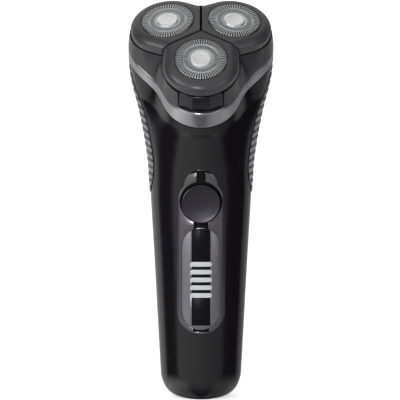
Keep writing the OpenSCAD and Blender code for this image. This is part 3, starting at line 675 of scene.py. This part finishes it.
def grip(name, side):
    """A crescent pad whose ribs slope down towards the front and fade out at its edges."""
    groove_shade_marks = {}

    def place(across, along):
        s = GRIP_FIRST + (GRIP_LAST - GRIP_FIRST) * along
        first = GRIP_FRONT + GRIP_TURN * along - FRONT_BOW * math.sin(math.pi * along ** 0.62)
        last = GRIP_BACK + GRIP_TURN * along + BACK_BOW * swell(along)
        angle = first + (last - first) * across
        flat = on_handle(s, angle)
        # Ribs: rounded bars, pitch along the height, sloped more towards the top of the pad.
        slope = 0.10 + 0.28 * along
        phase = ((flat.z - slope * 0.45 * (angle - 90)) / RIB_PITCH) % 1
        bar = min(1.0, max(0.0, (0.5 - abs(phase - 0.5)) / 0.2 - 0.55))
        bar = bar * bar * (3 - 2 * bar)
        edge = min(across, 1 - across) * (last - first) / 3
        ends = min(along, 1 - along) * 9
        fade = max(0.0, min(1.0, edge, ends)) ** 0.5
        proud = GRIP_SEAT + (GRIP_PAD - GRIP_SEAT) * fade * (0.35 + 0.65 * bar)
        spot = on_handle(s, angle, -proud)
        spot.x *= side
        # The rubber's colour mask: 1 on the ribs, 0 in the grooves and along the pad's edges, where
        # near black is painted as shade.
        groove_shade_marks[(round(spot.x, 4), round(spot.y, 4), round(spot.z, 4))] = bar * min(1.0, 2 * fade)
        return spot

    obj = bent_grid(name, 40, 230, place)
    face_out(obj, Vector((0, 0, 0.11)))
    rib = obj.data.attributes.new("rib", "FLOAT", "POINT")
    for vertex in obj.data.vertices:
        key = tuple(round(c / MM, 4) for c in vertex.co)
        rib.data[vertex.index].value = groove_shade_marks.get(key, 0.5)
    modify(obj, "SOLIDIFY", thickness=0.3 * MM, offset=-1)
    return obj


done(grip("left_grip_ribs", -1), "handle", "grey_rubber", grip_rubber, "left_grip", smooth=60)
done(grip("right_grip_ribs", 1), "handle", "grey_rubber", grip_rubber, "right_grip", smooth=60)

# ---------------------------------------------------------------- control panel
FACE_R = 20
SLAB_HALF, SLAB_STEPS, SLAB_LOW, SLAB_HIGH = 11.5, 92, -40, 45
# Swaps the panel's Y and Z, so that a plate is pulled along the panel instead of out of it. It
# turns the plate inside out, so its faces are set outwards again.
ALONG_PANEL = PANEL @ Matrix(((1, 0, 0, 0), (0, 0, 1, 0), (0, 1, 0, 0), (0, 0, 0, 1)))


def curved(name, outline, rise, thickness):
    """A plate cut from a curved slab whose front follows the panel's cylinder."""
    arch = [(-SLAB_HALF + 2 * SLAB_HALF * k / SLAB_STEPS) for k in range(SLAB_STEPS + 1)]
    r = FACE_R + rise
    slab = [(x, math.sqrt(r * r - x * x) - FACE_R) for x in arch]
    slab += [(x, y - thickness) for x, y in reversed(slab)]
    obj = plate(name, slab, SLAB_LOW, SLAB_HIGH, ALONG_PANEL)
    edit(obj, outward)
    carve(obj, punch(outline), keep="INTERSECT")
    return obj


bezel = curved("control_bezel_frame", bezel_outline(0), 0.3, 2.6)
stem, ring_in, ring_out = 1.95, 13.3, 14.1
LENS_HOLE = long_oval(LENS_R + 0.05, LENS_LOW - 0.05, LENS_HIGH + 0.05)
button_up = up_panel(BUTTON_Z)
carve(bezel, punch(LENS_HOLE), punch(arc(0, button_up + 0.62, BUTTON_R + 0.8, 0, 354, 59)),
      slit(stem, up_panel(88), up_panel(BUTTON_Z + ring_in + 0.3)),
      punch(arc(0, button_up, ring_out, 63, 117, 20) + arc(0, button_up, ring_in, 117, 63, 20)),
      slit(3.1, up_panel(70), up_panel(78)), slit(3.4, up_panel(29.1), up_panel(32)))
rounded(bezel, 0.18)
done(bezel, "handle", "gloss_black_bezel", smoked_trim, "control_bezel", smooth=35)
# The backing shows through the gap round the button and the slits of the bezel; its near-black
# finish is painted shade there.
backing = curved("control_bezel_backing", bezel_outline(-0.4), -0.9, 1.2)
carve(backing, punch(LENS_HOLE), punch(arc(0, button_up, BUTTON_R + 0.15, 0, 354, 59)))
rounded(backing, 0.1)
done(backing, "handle", "gloss_black_bezel", painted_shade_black)

lens = curved("display_lens_window", long_oval(LENS_R, LENS_LOW, LENS_HIGH), 0, 1.6)
BAR_W, BAR_H, BAR_PITCH, BAR_MID, BARS = 9.1, 1.9, 3.28, 51.1, 5


def bar_shape(z, grow):
    reach, r, y = (BAR_W - BAR_H) / 2, BAR_H / 2 + grow, up_panel(z)
    return arc(reach, y, r, -90, 90, 16) + arc(-reach, y, r, 90, 270, 16)


bar_heights = [BAR_MID + (k - (BARS - 1) / 2) * BAR_PITCH for k in range(BARS)]
for z in bar_heights:
    carve(lens, punch(bar_shape(z, 0.03)))
rounded(lens, 0.2)
done(lens, "handle", "smoked_lens", lens_acrylic, "display_lens", smooth=35)
bars = [curved("light_bar", bar_shape(z, 0), 0.1, 3.2) for z in bar_heights]
lit = joined(*bars)
lit.name = lit.data.name = "light_bar_guides"
rounded(lit, 0.12)
done(lit, "handle", "light_bar_white", opal_acrylic, "light_bars", smooth=35)

at_button = PANEL @ Matrix.Translation((0, up_panel(BUTTON_Z) * MM, 0))
BUTTON_LINE = [(0, 0.4), (2.5, 0.45), (5, 0.61), (7.0, 0.81), (7.25, 0.84), (7.4, 0.9),
               (7.7, 0.9), (7.95, 0.75), (BUTTON_R, 0.5), (BUTTON_R, -2), (0, -2)]
button = spun("power_button_disc", BUTTON_LINE, 96, at_button)
done(button, "button", "gloss_black_button", button_metal, "power_button", smooth=30)

# ---------------------------------------------------------------- head shell and release button
LOBE_R, LOBE_AT, LOBE_TILT, LOBE_BOTTOM, RIM_GAP = 15.93, 16.2, 7, -5.2, 0.85


def lobe_reach(off):
    f = math.radians(off)
    if f > math.atan(LOBE_R / LOBE_AT):
        return LOBE_R / math.sin(f)
    return LOBE_AT * math.cos(f) + math.sqrt(LOBE_R ** 2 - (LOBE_AT * math.sin(f)) ** 2)


def rim_height(off):
    tilt = math.radians(LOBE_TILT)
    return (LOBE_BOTTOM * math.cos(tilt)
            - (lobe_reach(off) * math.cos(math.radians(off)) - LOBE_AT) * math.sin(tilt) - RIM_GAP)


def on_chamber(across, along):
    turn = across * 360 + 30
    off, share = off_lobe(turn), along ** 1.6
    low, reach = head_ring(turn), lobe_reach(off)
    x = low[0] * (1 - share) + reach * math.cos(math.radians(turn)) * share
    y = low[1] * (1 - share) + reach * math.sin(math.radians(turn)) * share
    bottom = -18.85 + 2.4 * dip(turn + 90) + 3.6 * side_rise(turn + 90)
    return in_head(x, y, bottom + (rim_height(off) - bottom) * along)


chamber = bent_grid("head_shell_body", 216, 16, on_chamber)
face_out(chamber, HEAD @ (Vector((0, 0, -12)) * MM))
modify(chamber, "SOLIDIFY", thickness=WALL * MM, offset=-1)
carve(chamber, block("cut", (-9.5, -34, -15.5), (9.5, -26, -3.5), HEAD))
joined(chamber, barrel(0, 6), block("web", (-3, WEB_FROM, -18.8), (3, HINGE.y, -17.4), HEAD))
done(chamber, "head", "head_grey_plastic", chamber_grey, "head_shell", smooth=30)

release = plate("release_button_key", [(-9.3, -28.3), (-3.6, -31.2), (3.6, -31.2), (9.3, -28.3),
                                       (8.7, -27.0), (3.2, -29.6), (-3.2, -29.6), (-8.7, -27.0)],
                -15.35, -8.1, HEAD)
rounded(release, 0.35, 3)
joined(release, block("tongue", (-2, -28.7, -17.6), (2, -27.9, -13), HEAD),
       block("foot", (-2, -29.7, -13.2), (2, -27.9, -12), HEAD))
done(release, "release", "head_grey_plastic", chamber_grey, "release_button", smooth=25)

# A thin rib of the chamber stands in each gap between the lobes, with a post behind the rear pair.
# They keep light from showing through the gaps, and their near-black finish is painted shade.
RIB_HALF, RIB_IN, RIB_OUT, RIB_LOW, RIB_HIGH = 0.15, 1.5, 17.9, -6.2, -2.2
REAR_GAP = 90
rib_parts = []
for turn in (-30, REAR_GAP, 210):
    across = HEAD @ Matrix.Rotation(math.radians(turn), 4, "Z")
    fin = block("gap_rib", (RIB_IN, -RIB_HALF, RIB_LOW), (RIB_OUT, RIB_HALF, RIB_HIGH), across)
    rounded(fin, 0.1)
    rib_parts.append(fin)
POST_OUTLINE = [(18.85, -2.0), (19.6, -1.6), (19.6, 1.6), (18.85, 2.0), (18.65, 0.0)]
post = plate("corner_post", POST_OUTLINE, -5.6, -1.9,
             HEAD @ Matrix.Rotation(math.radians(REAR_GAP), 4, "Z"))
rounded(post, 0.15)
rib_parts.append(post)
ribs = joined(*rib_parts)
ribs.name = ribs.data.name = "lobe_gap_ribs"
done(ribs, "head", "head_grey_plastic", painted_shade_black)

# ---------------------------------------------------------------- lobes
COLLAR_R, COLLAR_Z, RIM_Z, HOLE_R, HOLE_Z, SEAM_HALF, EDGE = 11.6, -0.3, -3.4, 11.3, -2.6, 0.45, 0.3
COVER_WALL, LUG_AT, LUG_HALF, FREE = 0.9, 13.1, 0.75, 99.0
LOBE_COLUMNS, TOP_ROWS = 240, 22
TAN60 = math.tan(math.radians(60))


def seam_reach(phi, z):
    """Distance from the foil's axis to the seam plane, or far away where the lobe is free."""
    tilt = math.radians(LOBE_TILT)
    steep = abs(math.sin(phi)) - TAN60 * math.cos(phi) * math.cos(tilt)
    if steep < 0.05:
        return FREE
    return TAN60 * (LOBE_AT - SEAM_HALF / math.sin(math.radians(60)) + z * math.sin(tilt)) / steep


def outline_reach(phi):
    return LOBE_R if math.cos(phi) >= 0 else LOBE_R / max(1e-6, abs(math.sin(phi)))


def dome(x, y):
    across = math.hypot(x, y) if x > 0 else abs(y)
    if across <= COLLAR_R:
        return COLLAR_Z
    share = min(1.0, (across - COLLAR_R) / (LOBE_R - COLLAR_R))
    return RIM_Z + (COLLAR_Z - RIM_Z) * math.sqrt(1 - share * share)


def on_lobe(across, along):
    phi = across * math.tau
    row = round(along * (TOP_ROWS + 4))
    if row == 0:
        return Vector((HOLE_R * math.cos(phi), HOLE_R * math.sin(phi), HOLE_Z))
    share = math.sin(math.radians(90 * min(1.0, (row - 1) / TOP_ROWS)))
    z = COLLAR_Z
    for _ in range(3):  # the seam leans, so its reach and the dome's height settle together
        reach = min(outline_reach(phi), seam_reach(phi, z))
        r = HOLE_R + (reach - HOLE_R) * share
        z = dome(r * math.cos(phi), r * math.sin(phi))
    if reach < outline_reach(phi) - 1e-6:
        near = max(0.0, (r - (reach - EDGE)) / EDGE)
        z -= EDGE * (1 - math.sqrt(max(0.0, 1 - near * near)))
    if row > TOP_ROWS + 1:
        z += (LOBE_BOTTOM - z) * (row - TOP_ROWS - 1) / 3
        r = min(outline_reach(phi), seam_reach(phi, z))
    return Vector((r * math.cos(phi), r * math.sin(phi), z))


first_lobe = bent_grid("lobe_cover", LOBE_COLUMNS, TOP_ROWS + 4, on_lobe)
face_out(first_lobe, Vector((0.013, 0, -0.006)))
modify(first_lobe, "SOLIDIFY", thickness=COVER_WALL * MM, offset=-1)
lugs = [block("lug", (-2, s * LUG_AT - LUG_HALF, -8.4), (2, s * LUG_AT + LUG_HALF, -3.6), Matrix())
        for s in (-1, 1)]
for lug in lugs:
    rounded(lug, 0.25)
joined(first_lobe, *lugs)

# ---------------------------------------------------------------- foils and caps
SLOTS = 60  # fewer and wider than on a real foil, so that they show at all
INNER_SLOTS, OUTER_SLOTS, SLOT_FOOT = (5.5, 7.3), (8.1, 11.1), -1.5
foil_line = [(4.2, -0.15), (4.6, -0.15), (5.35, 0), (5.5, 0), (7.3, 0), (7.45, 0), (7.7, -0.14),
             (7.95, 0), (8.1, 0), (10.4, 0), (10.75, -0.05), (10.93, -0.2), (11, -0.45),
             (11, -1.5), (11, -2.95), (12.2, -2.95)]
foil_plate = spun("foil_plate", foil_line, 2 * SLOTS, Matrix())
face_out(foil_plate, Vector((0, 0, -0.02)))
only(foil_plate)
bpy.ops.object.mode_set(mode="EDIT")
bpy.ops.mesh.select_mode(type="FACE")
bpy.ops.object.mode_set(mode="OBJECT")
for face in foil_plate.data.polygons:
    middle = face.center
    r = math.hypot(middle.x, middle.y) / MM
    turn = math.degrees(math.atan2(middle.y, middle.x)) % 360
    outer = OUTER_SLOTS[0] < r < OUTER_SLOTS[1] and middle.z > SLOT_FOOT * MM
    face.select = (int(turn / (180 / SLOTS)) % 2 == 0
                   and (INNER_SLOTS[0] < r < INNER_SLOTS[1] or outer))
bpy.ops.object.mode_set(mode="EDIT")
bpy.ops.mesh.delete(type="FACE")
bpy.ops.mesh.select_mode(type="VERT")
bpy.ops.object.mode_set(mode="OBJECT")
modify(foil_plate, "SOLIDIFY", thickness=0.14 * MM, offset=-1)
CAP_LINE = [(0, 0.24), (1.6, 0.25), (2.7, 0.3), (3.1, 0.4), (3.9, 0.4), (4.25, 0.28),
            (4.4, 0.05), (4.4, -0.15), (0, -0.15)]
cap = spun("foil_centre_cap", CAP_LINE, 72, Matrix())

for side in LOBES:
    for pattern, name, slot_name, finish, node, smooth in (
            (first_lobe, "lobe_cover_", "head_grey_plastic", head_grey, "lobe_", 30),
            (foil_plate, "foil_plate_", "foil_steel", foil_steel, "foil_", 35),
            (cap, "foil_centre_cap_", "cap_steel", cap_steel, "foil_cap_", 35)):
        piece = bpy.data.objects.new(name + side, pattern.data.copy())
        bpy.context.scene.collection.objects.link(piece)
        piece.data.name = piece.name
        piece.data.transform(LOBES[side])
        done(piece, "petal_" + side, slot_name, finish, node + side, smooth=smooth)
for pattern in (first_lobe, foil_plate, cap):
    bpy.data.objects.remove(pattern)

# ---------------------------------------------------------------- small pieces with rounded edges
for node, edge, body, slot_name, finish in (
        ("base_cap", 0.3, "handle", "gloss_black_shell", piano_black),
        ("charging_socket", 0.2, "handle", "inner_plastic", inner_nylon),
        ("trimmer_well", 0.2, "handle", "trimmer_plastic", trimmer_black),
        ("trimmer_arm", 0.35, "trimmer", "trimmer_plastic", trimmer_black),
        ("trimmer_comb", 0.06, "trimmer", "blade_steel", ground_steel),
        ("trimmer_blade", 0.06, "trimmer_cutter", "blade_steel", ground_steel),
        ("trimmer_slide", 0.15, "trimmer_switch", "trimmer_plastic", head_grey)):
    softened(node, edge, body, slot_name, finish)

# ---------------------------------------------------------------- floor, light and camera
# Opal acrylic table lit from below: an even pale ground with hardly a shadow.
floor_paint = grained("lit_opal_table", "#f0f0f0", "#f4f4f4", 40.0, 0.75, 0.03, 0.01,
                      Emission_Color=(1, 1, 1, 1), Emission_Strength=0.64)
bpy.ops.object.select_all(action="DESELECT")
bpy.ops.mesh.primitive_plane_add(size=4, location=(0, 0, cad_low.z))
floor = fresh("floor")
floor.data.materials.append(floor_paint)
floor.visible_glossy = False

# Lit white paper all round, seen by the camera alone: it makes the ground behind the object white.
backdrop_paper, tree = material("lit_white_paper")
shade(tree, linear("#f4f4f4"), 0.9, Emission_Color=(1, 1, 1, 1), Emission_Strength=0.95)
bpy.ops.mesh.primitive_uv_sphere_add(segments=64, ring_count=32, radius=3)
backdrop = fresh("backdrop")
backdrop.data.materials.append(backdrop_paper)
backdrop.visible_diffuse = backdrop.visible_glossy = False
backdrop.visible_transmission = backdrop.visible_shadow = False

# The studio lights the object and is what its glossy surfaces mirror. It is white overhead, dark
# straight below and brighter on the left than on the right, with a soft-edged black flag at each
# side and a low panel beneath each flag.
world = bpy.data.worlds.new("studio")
bpy.context.scene.world = world
world.use_nodes = True
world.node_tree.nodes.clear()
tree = world.node_tree


def ramp(value, start, end, low, high):
    """Value mapped smoothly from start..end to low..high, and held beyond them."""
    return add(tree, "ShaderNodeMapRange", {"interpolation_type": "SMOOTHSTEP"},
               {0: value, 1: start, 2: end, 3: low, 4: high}).outputs[0]


def worked(operation, first, second):
    return add(tree, "ShaderNodeMath", {"operation": operation}, {0: first, 1: second}).outputs[0]


RIGHT_FLAG_WIDER, RIGHT_DIMMER, FLAG_DARK = 0.02, 0.48, 0.95
place = add(tree, "ShaderNodeTexCoord", {}, {}).outputs["Generated"]
part = add(tree, "ShaderNodeSeparateXYZ", {}, {0: place})
right, ahead, rise = part.outputs[0], part.outputs[1], part.outputs[2]
level = worked("ADD", worked("MULTIPLY", right, right), worked("MULTIPLY", ahead, ahead))
spread = worked("SQRT", level, 0.0)
sideways = worked("DIVIDE", worked("ABSOLUTE", right, 0.0), worked("MAXIMUM", spread, 0.001))
sideways = worked("ADD", sideways, worked("MULTIPLY", right, RIGHT_FLAG_WIDER))
flag = worked("MULTIPLY", ramp(sideways, 0.84, 0.96, 0, 1), ramp(rise, -0.34, -0.18, 0, 1))
panel = worked("MULTIPLY", ramp(sideways, 0.5, 0.9, 0, 0.45), ramp(rise, -0.3, -0.5, 0, 1))
sky = worked("ADD", ramp(rise, -0.86, -0.4, 0.03, 0.5), ramp(rise, 0.1, 0.9, 0, 0.3))
sky = worked("ADD", sky, panel)
sky = worked("MULTIPLY", sky, worked("SUBTRACT", 1.0, worked("MULTIPLY", right, RIGHT_DIMMER)))
sky = worked("MULTIPLY", sky, worked("SUBTRACT", 1.0, worked("MULTIPLY", flag, FLAG_DARK)))
light = add(tree, "ShaderNodeBackground", {}, {"Color": (1, 1, 1, 1), "Strength": sky})
add(tree, "ShaderNodeOutputWorld", {}, {"Surface": light.outputs[0]})


def facing(place, out):
    """A matrix at place whose Z axis, which a light or a camera looks back along, is out."""
    return Matrix.Translation(place) @ out.to_track_quat("Z", "Y").to_matrix().to_4x4()


def softbox(name, place, aim, size, watts):
    data = bpy.data.lights.new(name, "AREA")
    data.shape, data.size, data.energy = "SQUARE", size, watts
    obj = bpy.data.objects.new(name, data)
    obj.matrix_world = facing(place, Vector(place) - Vector(aim))
    obj.visible_camera = False
    bpy.context.scene.collection.objects.link(obj)


middle = (cad_low + cad_high) / 2
softbox("key_softbox", (-0.75, -0.65, 0.45), middle, 0.5, 2.5)
softbox("button_spot", (-0.13, -0.8, 0.2), (0, -0.02, 0.083), 0.12, 1.4)
softbox("fill_softbox", (0.75, -0.75, 0.35), middle, 0.5, 0.8)

scene = bpy.context.scene
scene.view_settings.view_transform = "Standard"
ELEVATION, AWAY, FRAME_WIDTH, SENSOR = math.radians(4), 1.6, 0.16885, 36
LOOK_AT = Vector((-0.0004, 0, 0.0833))
camera = bpy.data.objects.new("camera", bpy.data.cameras.new("camera"))
scene.collection.objects.link(camera)
back = Vector((0, -math.cos(ELEVATION), math.sin(ELEVATION)))
camera.matrix_world = facing(LOOK_AT + back * AWAY, back)
camera.data.sensor_width = SENSOR
camera.data.lens = SENSOR * AWAY / FRAME_WIDTH
camera.data.clip_end = 30
scene.camera = camera
